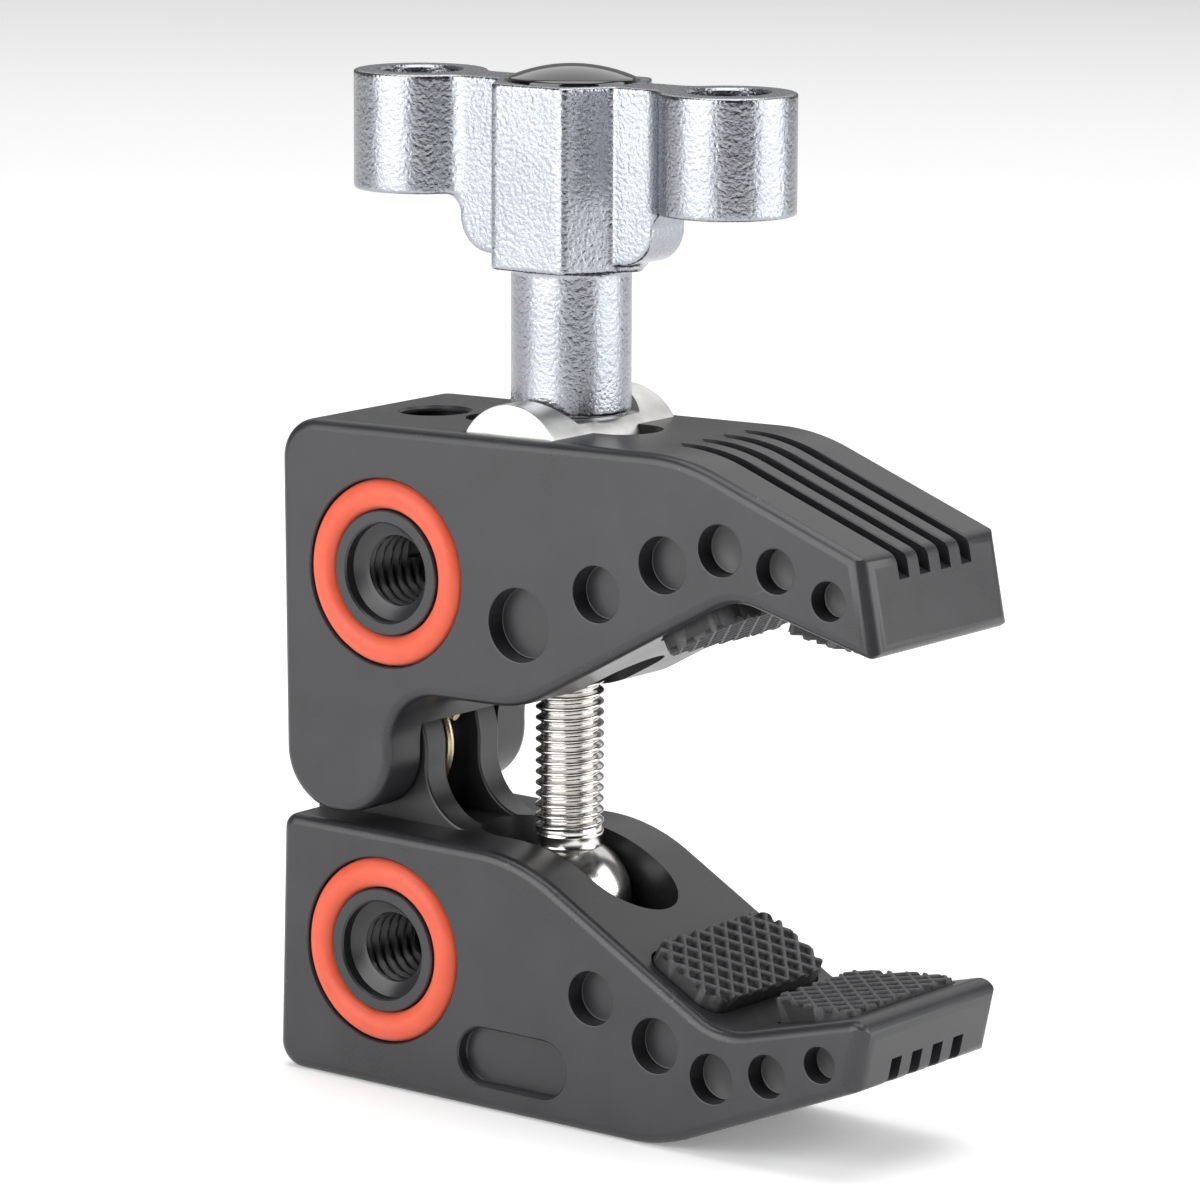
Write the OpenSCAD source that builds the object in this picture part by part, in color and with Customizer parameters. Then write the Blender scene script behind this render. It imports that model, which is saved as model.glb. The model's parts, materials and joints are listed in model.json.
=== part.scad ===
// Super clamp: two hinged jaws drawn together by a swing rod and a T-shaped knob.
// +X runs to the noses of the jaws, +Y across them and +Z up. The lower jaw stands on z = 0,
// and the origin is under the middle of the whole clamp.

/* [Jaws] */
// Width of both jaws
jaw_w = 26.8; // [26:0.1:28]
// Tilt of the upper jaw as it is drawn, nose up, against the lower jaw
rest_tilt = 2.2; // [0:0.1:4]
// Height of the lower jaw's flat rear part
lower_h = 29.9; // [29.5:0.1:30.3]
// Height of the hinge over the ground
hinge_z = 38; // [37.8:0.1:38.6]
// Height of the upper jaw's top over the hinge
upper_h = 38.1; // [37.5:0.1:39]
// How far the upper jaw's ears reach below the hinge
ear_low = 7; // [6.8:0.1:7.2]
// How far the ears reach in front of the hinge
ear_front = 7.8; // [7.5:0.1:8]
// Radius of the lower jaw's lugs
lug_r = 8.4; // [8.2:0.1:8.5]
// Gap between the two lugs
lug_gap = 6.2; // [6:0.1:6.4]
// Thickness of one lug
lug_t = 3.7; // [3.4:0.1:3.8]

/* [Hinge] */
// Radius of the hinge pin
pin_r = 2.5; // [2:0.1:2.5]
// Thickness of the hinge washers
washer_t = 0.4; // [0.3:0.05:0.45]
// Mean radius of the torsion spring's coils
coil_r = 7.4; // [7.2:0.1:7.5]
// Radius of the spring's wire
wire_r = 0.6; // [0.5:0.05:0.65]

/* [Swing rod and barrel] */
// Outside radius of the rod's thread
rod_r = 3.9; // [3.9:0.05:4]
// Radius of the rod's ball end
ball_r = 7.1; // [6.8:0.1:7.2]
// Width across the flats of the ball end
ball_flats = 11.8; // [11:0.1:12]
// Length of the rod from its ball to its tip
rod_len = 68; // [64:1:70]
// Radius of the barrel
barrel_r = 7.2; // [7:0.1:7.3]
// Length of the barrel
barrel_len = 23.1; // [22.5:0.1:23.6]
// Height of the barrel's spot face over its axis
spot_h = 4.8; // [4.5:0.1:5]

/* [Knob] */
// Distance across the flats of the hub
hub_af = 17; // [16:0.1:17.4]
// Height of the hub
hub_h = 20.8; // [20:0.1:21.5]
// Height of the stem under the hub
stem_h = 16.3; // [15:0.1:17]
// Radius of the stem
stem_r = 6.8; // [6.5:0.1:7]
// Radius of each wing's round end
wing_r = 7.65; // [7.2:0.05:8]
// Height of the wings
wing_h = 13.5; // [12:0.1:14.5]
// Distance of each wing's round end from the knob's axis
wing_x = 21.3; // [20.5:0.1:21.6]
// Radius of the recess in each wing
recess_r = 4.6; // [4:0.1:5]
// Thickness of the web between hub and wings
web_t = 6.4; // [5.5:0.1:7]

/* [Threaded holes and rings] */
// Radius of the threads in the jaws
thread_r = 4.76; // [4.7:0.01:4.8]
// Radius of the counterbore in front of each side thread
counter_r = 5.65; // [5.4:0.05:6]
// Inner radius of the ring grooves
ring_in = 7.15; // [7:0.05:7.3]
// Outer radius of the ring grooves
ring_out = 10.76; // [10.6:0.02:10.8]
// Depth of the ring grooves
ring_depth = 2.9; // [2.6:0.1:3]

/* [Pads] */
// Length of a rear pad along its slope
pad_l = 10.6; // [10:0.1:11]
// Width of a rear pad
pad_w = 22; // [21:0.1:22.4]
// How far a rear pad stands out
pad_out = 2; // [1.5:0.1:2.4]
// Depth of the pockets that hold the pads
pad_in = 0.8; // [0.5:0.1:1.2]

/* [Hidden] */
$fn = 64;

half_w = jaw_w / 2;
hinge_x = -22.62;
ball_x = 1.42;
ball_z = 22.7;
barrel_x = 0.12;
barrel_z = 73.3;
rod_lean = atan2(barrel_x - ball_x, barrel_z - ball_z);
rest_len = norm([barrel_x - ball_x, barrel_z - ball_z]);

// Angles of the gripping and outer slopes, and of the nose faces, in each jaw's own frame
low_grip = 29.1;
low_front = 15.4;
low_under = 23.1;
up_grip = 27.7;
up_front = 15.8;
up_slope = 21.8;

// Outline corners as [x, z, rounding]. The lower jaw's stand on the ground,
// the upper jaw's are measured from the hinge.
low_rear = -29.95;
low_apex = [31.77, 14.29];
low_nose_top = [51.8, 19.7];
low_nose_bottom = [50.2, 11.1];
low_corners = [[low_rear, 0, 3], [23.9, 0, 20], [low_nose_bottom[0], low_nose_bottom[1], 0.8],
               [low_nose_top[0], low_nose_top[1], 0.8], [low_apex[0], low_apex[1], 8.5],
               [3.74, lower_h, 22], [low_rear, lower_h, 1.8]];
up_apex = [55.38, 22.96];
up_nose_top = [72.7, 28.67];
up_nose_bottom = [74.75, 17.57];
belly_z = 7.7;
ear_rear = -7.2;
up_corners = [[ear_rear, upper_h, 4.8], [ear_rear, -ear_low, ear_low], [ear_front, -ear_low, ear_low],
              [ear_front, belly_z, 6.5], [26.34, belly_z, 13], [up_apex[0], up_apex[1], 7.5],
              [up_nose_bottom[0], up_nose_bottom[1], 0.8], [up_nose_top[0], up_nose_top[1], 0.8],
              [48.85, upper_h, 25]];

// Features of the lower jaw
low_bore = [-15.1, 16];
low_dimples = [[14.5, 15.5, 3.05], [23.4, 11.65, 3.1], [31.1, 9.25, 2.8], [38.5, 10.85, 2.4],
               [45.4, 13.4, 2]];
low_panel = [3.7, 6.15];
panel_l = 15.1;
panel_h = 6.6;
panel_depth = 1.6;
slot_half_w = 6.25;
slot_rear = 11.2;
slot_front = 13.8;
ball_room = 0.9;
pocket_rear = ball_r + 2.3;
pin_room = 0.7;

// Features of the upper jaw, from the hinge
up_bore = [7.8, 21.4];
up_dimples = [[26.6, 17.3, 4.15], [37.3, 21.8, 3.15], [46.3, 25.9, 3.15], [54, 28.2, 2.85],
              [61.3, 26.6, 2.45], [68.2, 24, 2.15]];
top_bore_x = 4.8;
barrel_at = rotated([barrel_x - hinge_x, barrel_z - hinge_z], -rest_tilt);
barrel_room = 0.08;
rod_slot_half_w = 4.25;
rod_slot_front = 11.9;
rod_slot_rear = 9;
rod_slot_mouth = 13.8;
rod_slot_step = 32;

dimple_depth = 2.5;
counter_depth = 1.5;
groove_w = 2;
groove_pitch = 4.06;
groove_depth = 2.3;
ring_section = (ring_out - ring_in) / 2 - 0.06;
ring_r = (ring_in + ring_out) / 2;
ring_proud = 0.6;

fit = 0.04;
press = 0.01;
lug_out = lug_gap / 2 + lug_t;
ear_in = lug_out + washer_t + 0.1;
relief_r = lug_r + 0.35;
blind_end = half_w - 2;
spot_r = 7.9;
thrust_t = 0.5;
thrust_r = 6.2;
knob_base = spot_h + thrust_t;
knob_top = knob_base + stem_h + hub_h;
nut_r = 5.2;
nut_len = 30;
wing_recess = 9;
web_bottom = 1;
web_x = 13.3;
cap_r = 7.3;
cap_h = 1.85;
cap_rim = 0.3;
cap_seat = 1.2;
sleeve_r = 4.6;
coil_pitch = 1.22;
leg_len = 1;

// Distances of the pads' frames from the corner between a jaw's two gripping slopes
rear_pad_at = 8.1;
front_pad_at = 4.5;

// Front pads: each widens and thins towards the nose
front_pad_l = 11.8;
front_pad_narrow = 15.8;
front_pad_wide = 20.4;
front_pad_flare = 7;
front_pad_thick = 3;
front_pad_thin = 0.6;

// The clamp's length runs from the rearmost to the foremost point of the two jaws
up_outline = rounded(up_corners);
low_outline = rounded(low_corners);
jaw_xs = concat([for (p = low_outline) p[0]], [for (p = up_outline) rotated(p, rest_tilt)[0] + hinge_x]);
mid_x = (min(jaw_xs) + max(jaw_xs)) / 2;

function rotated(p, a) = [p[0] * cos(a) - p[1] * sin(a), p[0] * sin(a) + p[1] * cos(a)];
function unit(v) = v / norm(v);

// Points of a polygon whose corners are rounded by arcs
function rounded(c) = [for (i = [0 : len(c) - 1]) each corner_arc(c[(i + len(c) - 1) % len(c)], c[i],
                                                                 c[(i + 1) % len(c)])];
function corner_arc(a, b, c) =
    let (u = unit([a[0] - b[0], a[1] - b[1]]), v = unit([c[0] - b[0], c[1] - b[1]]),
         half = acos(u * v) / 2, m = [b[0], b[1]] + unit(u + v) * b[2] / sin(half),
         p = [b[0], b[1]] + u * b[2] / tan(half), q = [b[0], b[1]] + v * b[2] / tan(half),
         a0 = atan2(p[1] - m[1], p[0] - m[0]), turn = atan2(q[1] - m[1], q[0] - m[0]) - a0,
         sweep = turn > 180 ? turn - 360 : turn < -180 ? turn + 360 : turn,
         n = max(2, ceil(abs(sweep) / 6)))
    [for (k = [0 : n]) m + b[2] * [cos(a0 + sweep * k / n), sin(a0 + sweep * k / n)]];

// A flat shape drawn in x and z, thickened along y
module across(y0, y1) {
    translate([0, y1, 0]) rotate([90, 0, 0]) linear_extrude(y1 - y0) children();
}

// A round bar along y
module cross_bar(r, y0, y1) {
    translate([0, y1, 0]) rotate([90, 0, 0]) cylinder(r = r, h = y1 - y0);
}

// A slot with round ends along x, cut down along z
module slot(x0, x1, half, z0, z1) {
    translate([x0 + half, 0, z0]) cylinder(r = half, h = z1 - z0);
    translate([x1 - half, 0, z0]) cylinder(r = half, h = z1 - z0);
    translate([x0 + half, -half, z0]) cube([x1 - x0 - 2 * half, 2 * half, z1 - z0]);
}

module lower_frame() { translate([-mid_x, 0, 0]) children(); }
module upper_frame() { translate([hinge_x - mid_x, 0, hinge_z]) rotate([0, -rest_tilt, 0]) children(); }
module rod_frame() { translate([ball_x - mid_x, 0, ball_z]) rotate([0, rod_lean, 0]) children(); }
module barrel_frame() { rod_frame() translate([0, 0, rest_len]) children(); }

// Threaded side hole with its counterbore and ring groove, from face to face
module side_bore() {
    cross_bar(thread_r, -half_w - 1, half_w + 1);
    for (side = [-1, 1]) {
        y0 = side < 0 ? -half_w - 1 : half_w - counter_depth;
        cross_bar(counter_r, y0, y0 + counter_depth + 1);
        g0 = side < 0 ? -half_w - 1 : half_w - ring_depth;
        difference() {
            cross_bar(ring_out, g0, g0 + ring_depth + 1);
            cross_bar(ring_in, g0 - 1, g0 + ring_depth + 2);
        }
    }
}

// Round blind pockets in both side faces
module dimples(list) {
    for (d = list) translate([d[0], 0, d[1]]) {
        cross_bar(d[2], -half_w - 1, -half_w + dimple_depth);
        cross_bar(d[2], half_w - dimple_depth, half_w + 1);
    }
}

// Four straight grooves along +x whose floor lies on z = 0
module grooves(length) {
    for (i = [-1.5 : 1 : 1.5]) translate([0, i * groove_pitch - groove_w / 2, 0])
        cube([length, groove_w, 12]);
}

// Rectangle with rounded corners, centred
module pad_outline(l, w, r) {
    polygon(rounded([[-l / 2, -w / 2, r], [l / 2, -w / 2, r], [l / 2, w / 2, r], [-l / 2, w / 2, r]]));
}

// Rear pad standing on z = 0, or its pocket
module rear_pad(room = 0) {
    translate([0, 0, -pad_in]) linear_extrude(pad_in + pad_out + room * 20)
        pad_outline(pad_l + 2 * room, pad_w + 2 * room, 2.6 + room);
}

// Plan of a front pad, from its thick end at x = 0 towards the nose
module front_plan(room = 0) {
    n = front_pad_narrow / 2 + room;
    w = front_pad_wide / 2 + room;
    l = front_pad_l + room;
    polygon(rounded([[-room, -n, 1], [front_pad_flare, -w, 4], [l, -w, 1], [l, w, 1],
                     [front_pad_flare, w, 4], [-room, n, 1]]));
}

// Front pad whose gripping face slopes down towards the nose
module front_pad() {
    intersection() {
        translate([0, 0, -pad_in]) linear_extrude(pad_in + front_pad_thick) front_plan();
        across(-half_w, half_w) polygon([[-1, -pad_in], [front_pad_l + 1, -pad_in],
            [front_pad_l + 1, front_pad_thin], [0, front_pad_thick], [-1, front_pad_thick]]);
    }
}
module front_pocket() {
    translate([0, 0, -pad_in]) linear_extrude(20) front_plan(0.25);
}

// Frames of the four pads: z points out of the gripping face, x runs towards the nose
module low_rear_seat() {
    translate([low_apex[0] - rear_pad_at * cos(low_grip), 0, low_apex[1] + rear_pad_at * sin(low_grip)])
        rotate([0, low_grip, 0]) children();
}
module low_front_seat() {
    translate([low_apex[0] + front_pad_at * cos(low_front), 0, low_apex[1] + front_pad_at * sin(low_front)])
        rotate([0, -low_front, 0]) children();
}
module up_rear_seat() {
    translate([up_apex[0] - rear_pad_at * cos(up_grip), 0, up_apex[1] - rear_pad_at * sin(up_grip)])
        rotate([0, -up_grip, 0]) mirror([0, 0, 1]) children();
}
module up_front_seat() {
    translate([up_apex[0] + front_pad_at * cos(up_front), 0, up_apex[1] - front_pad_at * sin(up_front)])
        rotate([0, up_front, 0]) mirror([0, 0, 1]) children();
}

// One lug's side view: an eye on a foot that sweeps into the jaw's top
module lug_outline() {
    foot = lower_h - hinge_z;
    rear = low_rear - hinge_x;
    flare = 6.8;
    translate([hinge_x, hinge_z]) intersection() {
        union() {
            circle(lug_r);
            polygon([[rear, foot - 2], [rear, 0], each [for (k = [0 : 12])
                [lug_r + flare - flare * cos(90 * k / 12), foot + flare - flare * sin(90 * k / 12)]],
                [lug_r + flare, foot - 2]]);
        }
        translate([rear, foot - 2]) square([30, 30]);
    }
}

module lower_jaw() color("#2b2b2e") lower_frame() difference() {
    union() {
        across(-half_w, half_w) polygon(low_outline);
        for (side = [-1, 1]) {
            y0 = side < 0 ? -lug_out : lug_gap / 2;
            across(y0, y0 + lug_t) lug_outline();
        }
    }
    translate([hinge_x, 0, hinge_z]) cross_bar(pin_r + fit, -half_w, half_w);
    translate([ball_x, 0, ball_z]) cross_bar(pin_r + pin_room, -blind_end, blind_end);
    slot(ball_x - pocket_rear, ball_x + slot_front, slot_half_w, ball_z - ball_r - ball_room, lower_h + 1);
    slot(ball_x - slot_rear, ball_x + slot_front, slot_half_w, lower_h - 5.4, lower_h + 1);
    translate([low_bore[0], 0, low_bore[1]]) side_bore();
    dimples(low_dimples);
    for (y0 = [-half_w - 1, half_w - panel_depth]) translate([low_panel[0], 0, low_panel[1]])
        across(y0, y0 + panel_depth + 1) polygon(rounded([for (c = [[-1, -1], [1, -1], [1, 1], [-1, 1]])
            [c[0] * panel_l / 2, c[1] * panel_h / 2, panel_h / 2 - 0.01]]));
    translate([low_nose_bottom[0], 0, low_nose_bottom[1]]) rotate([0, 180 - low_under, 0])
        translate([-4, 0, -groove_depth]) grooves(40);
    low_rear_seat() rear_pad(0.3);
    low_front_seat() front_pocket();
}

module upper_jaw() color("#2b2b2e") upper_frame() difference() {
    across(-half_w, half_w) polygon(up_outline);
    cross_bar(relief_r, -ear_in, ear_in);
    translate([-20, -ear_in, -20]) cube([40, 2 * ear_in, 20]);
    cross_bar(pin_r + press, -blind_end, half_w + 1);
    translate([barrel_at[0], 0, barrel_at[1]]) {
        cross_bar(barrel_r + barrel_room, -barrel_len / 2 - 0.3, barrel_len / 2 + 0.3);
        slot(-rod_slot_rear, rod_slot_front, rod_slot_half_w, -upper_h, 10);
        slot(-rod_slot_mouth, 0, rod_slot_half_w, rod_slot_step - barrel_at[1], 10);
    }
    translate([top_bore_x, 0, up_bore[1]]) cylinder(r = thread_r, h = upper_h);
    translate([up_bore[0], 0, up_bore[1]]) side_bore();
    dimples(up_dimples);
    translate([up_nose_top[0], 0, up_nose_top[1]]) rotate([0, up_slope, 0])
        translate([-36, 0, -groove_depth]) grooves(40);
    up_rear_seat() rear_pad(0.3);
    up_front_seat() front_pocket();
}

module hinge_pin() color("#8d9092") upper_frame() cross_bar(pin_r, 0.2 - blind_end, half_w - 0.4);

module hinge_sleeve() color("#8d9092") lower_frame() translate([hinge_x, 0, hinge_z]) difference() {
    cross_bar(sleeve_r, -lug_gap / 2 + 0.05, lug_gap / 2 - 0.05);
    cross_bar(pin_r + fit, -lug_gap, lug_gap);
}

// Two close-wound coils beside the near lug, joined at their flanks, with a leg towards each jaw
module hinge_spring() color("#a58d6a") lower_frame() translate([hinge_x, 0, hinge_z]) {
    first = lug_gap / 2 - wire_r - 0.1;
    rotate([90, 0, 0]) rotate_extrude() {
        for (i = [0, 1]) translate([coil_r, first - i * coil_pitch]) circle(wire_r, $fn = 24);
        translate([coil_r - wire_r / 3, first - coil_pitch]) square([wire_r * 2 / 3, coil_pitch]);
    }
    for (leg = [[0, 150], [1, 60]]) translate([0, leg[0] * coil_pitch - first, 0]) rotate([0, leg[1], 0])
        translate([0, 0, coil_r]) cylinder(r = wire_r * 0.8, h = leg_len, $fn = 24);
}

module hinge_washer(y0) color("#c9cbc8") upper_frame() difference() {
    cross_bar(5, y0, y0 + washer_t);
    cross_bar(pin_r + press, y0 - 1, y0 + washer_t + 1);
}
module hinge_washer_near() hinge_washer(-ear_in);
module hinge_washer_far() hinge_washer(ear_in - washer_t);

module swing_rod() color("#b9b6b0") rod_frame() difference() {
    union() {
        intersection() {
            sphere(ball_r);
            cube([3 * ball_r, ball_flats, 3 * ball_r], center = true);
        }
        cylinder(r = rod_r - 0.3, h = rod_len);
        translate([0, 0, ball_r + 0.1]) cylinder(r = rod_r, h = rod_len - ball_r - 1.1);
        translate([0, 0, rod_len - 1]) cylinder(r1 = rod_r, r2 = rod_r - 1, h = 1);
    }
    cross_bar(pin_r + press, -ball_r, ball_r);
}

module rod_pin() color("#8d9092") rod_frame() cross_bar(pin_r, 0.3 - blind_end, blind_end - 0.3);

module barrel() color("#c4c2bd") barrel_frame() difference() {
    cross_bar(barrel_r, -barrel_len / 2, barrel_len / 2);
    translate([0, 0, spot_h]) cylinder(r = spot_r, h = barrel_r);
    translate([0, 0, -2 * barrel_r]) cylinder(r = rod_r + fit, h = 4 * barrel_r);
}

module thrust_washer() color("#8d9092") barrel_frame() translate([0, 0, spot_h]) difference() {
    cylinder(r = thrust_r, h = thrust_t);
    translate([0, 0, -1]) cylinder(r = rod_r + 0.3, h = thrust_t + 2);
}

// Hub, stem, web and two round wings, cast in one piece
module knob() color("#9aa1ab") barrel_frame() difference() {
    union() {
        translate([0, 0, knob_base]) cylinder(r = stem_r, h = stem_h + 1);
        translate([0, 0, knob_top - hub_h]) rotate([0, 0, 30])
            cylinder(r = hub_af / sqrt(3), h = hub_h, $fn = 6);
        across(-web_t / 2, web_t / 2) polygon(rounded([
            [-web_x, knob_top - hub_h + web_bottom, 4], [web_x, knob_top - hub_h + web_bottom, 4],
            [web_x, knob_top, 0.2], [-web_x, knob_top, 0.2]]));
        translate([-wing_x, -web_t / 2, knob_top - wing_h]) cube([2 * wing_x, web_t, wing_h]);
        for (side = [-1, 1]) translate([side * wing_x, 0, knob_top - wing_h])
            cylinder(r = wing_r, h = wing_h);
    }
    for (side = [-1, 1]) translate([side * wing_x, 0, knob_top - wing_recess])
        cylinder(r = recess_r, h = wing_recess + 1);
    translate([0, 0, knob_base - 1]) cylinder(r = nut_r + press, h = nut_len + 1.01);
    translate([0, 0, knob_top - cap_seat]) cylinder(r = cap_r + 0.02, h = cap_seat + 1);
}

module knob_nut() color("#8d9092") barrel_frame() translate([0, 0, knob_base]) difference() {
    cylinder(r = nut_r, h = nut_len);
    translate([0, 0, -1]) cylinder(r = rod_r + fit, h = nut_len + 2);
}

// Domed disc: a short round bar whose top is a slice of a large ball
module knob_cap() color("#0c0c0d") barrel_frame() translate([0, 0, knob_top]) {
    rise = cap_h - cap_rim;
    dome_r = (cap_r * cap_r + rise * rise) / (2 * rise);
    intersection() {
        translate([0, 0, cap_h - dome_r]) sphere(dome_r, $fn = 96);
        translate([0, 0, -cap_seat]) cylinder(r = cap_r, h = cap_seat + 2 * cap_h);
    }
}

module lower_rear_pad() color("#161617") lower_frame() low_rear_seat() rear_pad();
module lower_front_pad() color("#161617") lower_frame() low_front_seat() front_pad();
module upper_rear_pad() color("#161617") upper_frame() up_rear_seat() rear_pad();
module upper_front_pad() color("#161617") upper_frame() up_front_seat() front_pad();

// Rubber ring lying in its groove, a little proud of the face on that side
module ring(at, side) color("#e2532f") translate([at[0], side * (half_w + ring_proud - ring_section), at[1]])
    rotate([90, 0, 0]) rotate_extrude() translate([ring_r, 0]) circle(ring_section, $fn = 32);
module lower_ring_near() lower_frame() ring(low_bore, -1);
module lower_ring_far() lower_frame() ring(low_bore, 1);
module upper_ring_near() upper_frame() ring(up_bore, -1);
module upper_ring_far() upper_frame() ring(up_bore, 1);

lower_jaw();
upper_jaw();
hinge_pin();
hinge_sleeve();
hinge_spring();
hinge_washer_near();
hinge_washer_far();
swing_rod();
rod_pin();
barrel();
thrust_washer();
knob();
knob_nut();
knob_cap();
lower_rear_pad();
lower_front_pad();
upper_rear_pad();
upper_front_pad();
lower_ring_near();
lower_ring_far();
upper_ring_near();
upper_ring_far();
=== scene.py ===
"""Looks of the super clamp: rounded edges, threads, knurling and studio light over the solids.

Lengths in the sections below are millimetres, and SCALE turns them into Blender's metres.
Each jaw, the barrel and the knob has its own frame, taken from the joints in the record.
"""
import json
import math

import bmesh
import bpy
from mathutils import Matrix, Vector


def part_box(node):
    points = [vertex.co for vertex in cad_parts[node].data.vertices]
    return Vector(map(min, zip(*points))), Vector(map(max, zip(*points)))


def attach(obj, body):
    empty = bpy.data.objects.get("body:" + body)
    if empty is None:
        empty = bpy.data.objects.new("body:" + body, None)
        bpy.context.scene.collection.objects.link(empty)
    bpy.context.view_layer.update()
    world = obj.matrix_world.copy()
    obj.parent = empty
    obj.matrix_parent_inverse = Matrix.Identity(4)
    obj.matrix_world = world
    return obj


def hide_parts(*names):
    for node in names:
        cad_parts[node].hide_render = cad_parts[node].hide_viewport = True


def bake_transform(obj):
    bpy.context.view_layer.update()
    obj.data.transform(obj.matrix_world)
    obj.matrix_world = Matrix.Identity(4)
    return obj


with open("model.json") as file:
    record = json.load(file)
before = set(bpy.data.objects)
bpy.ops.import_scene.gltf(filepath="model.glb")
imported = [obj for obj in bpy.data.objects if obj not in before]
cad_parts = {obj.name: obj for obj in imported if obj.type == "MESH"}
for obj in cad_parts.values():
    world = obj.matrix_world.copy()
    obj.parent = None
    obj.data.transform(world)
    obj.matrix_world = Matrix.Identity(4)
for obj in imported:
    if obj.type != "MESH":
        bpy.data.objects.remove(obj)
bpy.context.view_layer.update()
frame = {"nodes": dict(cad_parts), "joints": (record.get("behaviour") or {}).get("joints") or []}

# ---------------------------------------------------------------- frames

SCALE = 0.001
REST_TILT = math.radians(2.2)
DESIGN_HINGE_X = -22.62
joints = {joint["name"]: joint for joint in frame["joints"]}
hinge = Vector(joints["jaw_hinge"]["pos_m"])
barrel_at = Vector(joints["barrel_turn"]["pos_m"])
rod_up = -Vector(joints["knob_spin"]["axis"])
millimetres = Matrix.Scale(SCALE, 4)

LOWER = Matrix.Translation((hinge.x - DESIGN_HINGE_X * SCALE, 0, 0)) @ millimetres
UPPER = Matrix.Translation(hinge) @ Matrix.Rotation(-REST_TILT, 4, "Y") @ millimetres
LUG = Matrix.Translation(hinge) @ millimetres
rod_lean = math.atan2(rod_up.x, rod_up.z)
BARREL = Matrix.Translation(barrel_at) @ Matrix.Rotation(rod_lean, 4, "Y") @ millimetres

# Frames that turn z onto -y and onto y
ACROSS = Matrix.Rotation(math.radians(90), 4, "X")
ALONG_Y = Matrix.Rotation(math.radians(-90), 4, "X")

# ---------------------------------------------------------------- sizes, as in the solids

HALF_W = 13.4
EDGE = 1.25
NOSE_EDGE = 2.3
EDGE_STEPS = 6

LOW_TOP = 29.9
LOW_REAR = -29.949
LOW_NOSE = ((51.8, 19.7), (50.2, 11.1))
LOW_APEX = (31.77, 14.29)
LOW_CORNERS = [(LOW_REAR, 0, 3), (23.9, 0, 20), (*LOW_NOSE[1], 1.3), (*LOW_NOSE[0], 1.9),
               (*LOW_APEX, 8.5), (3.74, LOW_TOP, 22), (LOW_REAR, LOW_TOP, 1.8)]
LOW_GRIP, LOW_FRONT, LOW_UNDER = math.radians(29.1), math.radians(15.4), math.radians(23.1)
LOW_BORE = (-15.1, 16)
LOW_DIMPLES = [(14.5, 15.5, 3.05), (23.4, 11.65, 3.1), (31.1, 9.25, 2.8), (38.5, 10.85, 2.4),
               (45.4, 13.4, 2)]
DIMPLE_DEPTH = 2.5
PANEL_AT, PANEL_L, PANEL_H, PANEL_DEPTH = (3.7, 6.15), 15.1, 6.6, 1.6
BALL = (1.42, 22.7)
BALL_R, BALL_FLATS, BALL_ROOM = 7.1, 11.8, 0.9
POCKET_REAR = BALL_R + 2.3
SWING_SLOT_REAR, SWING_SLOT_FRONT, SWING_SLOT_HALF = -11.2, 13.8, 6.25
SWING_SLOT_DEPTH = 5.4

UP_TOP = 38.1
EAR_REAR, EAR_FRONT, EAR_LOW = -7.2, 7.8, 7
UP_APEX = (55.38, 22.96)
UP_NOSE = ((72.7, 28.67), (74.75, 17.57))
UP_CORNERS = [(EAR_REAR, UP_TOP, 4.8), (EAR_REAR, -EAR_LOW, EAR_LOW), (EAR_FRONT, -EAR_LOW, EAR_LOW),
              (EAR_FRONT, 7.7, 6.5), (26.34, 7.7, 13), (*UP_APEX, 7.5), (*UP_NOSE[1], 1.3),
              (*UP_NOSE[0], 1.9), (48.85, UP_TOP, 25)]
UP_GRIP, UP_FRONT, UP_SLOPE = math.radians(27.7), math.radians(15.8), math.radians(21.8)
UP_BORE = (7.8, 21.4)
UP_DIMPLES = [(26.6, 17.3, 4.15), (37.3, 21.8, 3.15), (46.3, 25.9, 3.15), (54, 28.2, 2.85),
              (61.3, 26.6, 2.45), (68.2, 24, 2.15)]
TOP_BORE_X = 4.8
UP_BARREL = (24.0783, 34.401)
ROD_SLOT_REAR, ROD_SLOT_FRONT, ROD_SLOT_HALF = -9, 11.9, 4.25
ROD_SLOT_MOUTH, ROD_SLOT_STEP = -13.8, 32

LUG_R, LUG_IN, LUG_OUT = 8.4, 3.1, 6.8
LUG_FOOT, LUG_FLARE, LUG_REAR = -8.1, 6.8, -7.33
EAR_IN = 7.3
RELIEF_R = 8.75
PIN_R = 2.5

BARREL_R, BARREL_LEN, BARREL_ROOM = 7.2, 23.1, 0.08
SPOT_H, SPOT_R = 4.8, 7.9
ROD_R, ROD_LEN, ROD_PITCH = 3.9, 68, 1.25
KNOB_BASE = 5.3
STEM_R, STEM_H = 6.8, 16.3
HUB_AF, HUB_H, HUB_EDGE = 17, 20.8, 1.1
KNOB_TOP = KNOB_BASE + STEM_H + HUB_H
WING_R, WING_H, WING_X = 7.65, 13.5, 21.3
WING_RECESS_R, WING_RECESS = 4.6, 9
WEB_T, WEB_X, WEB_BOTTOM = 6.4, 13.3, 1
CAP_R, CAP_H, CAP_SEAT = 7.3, 1.84, 1.2

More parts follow.
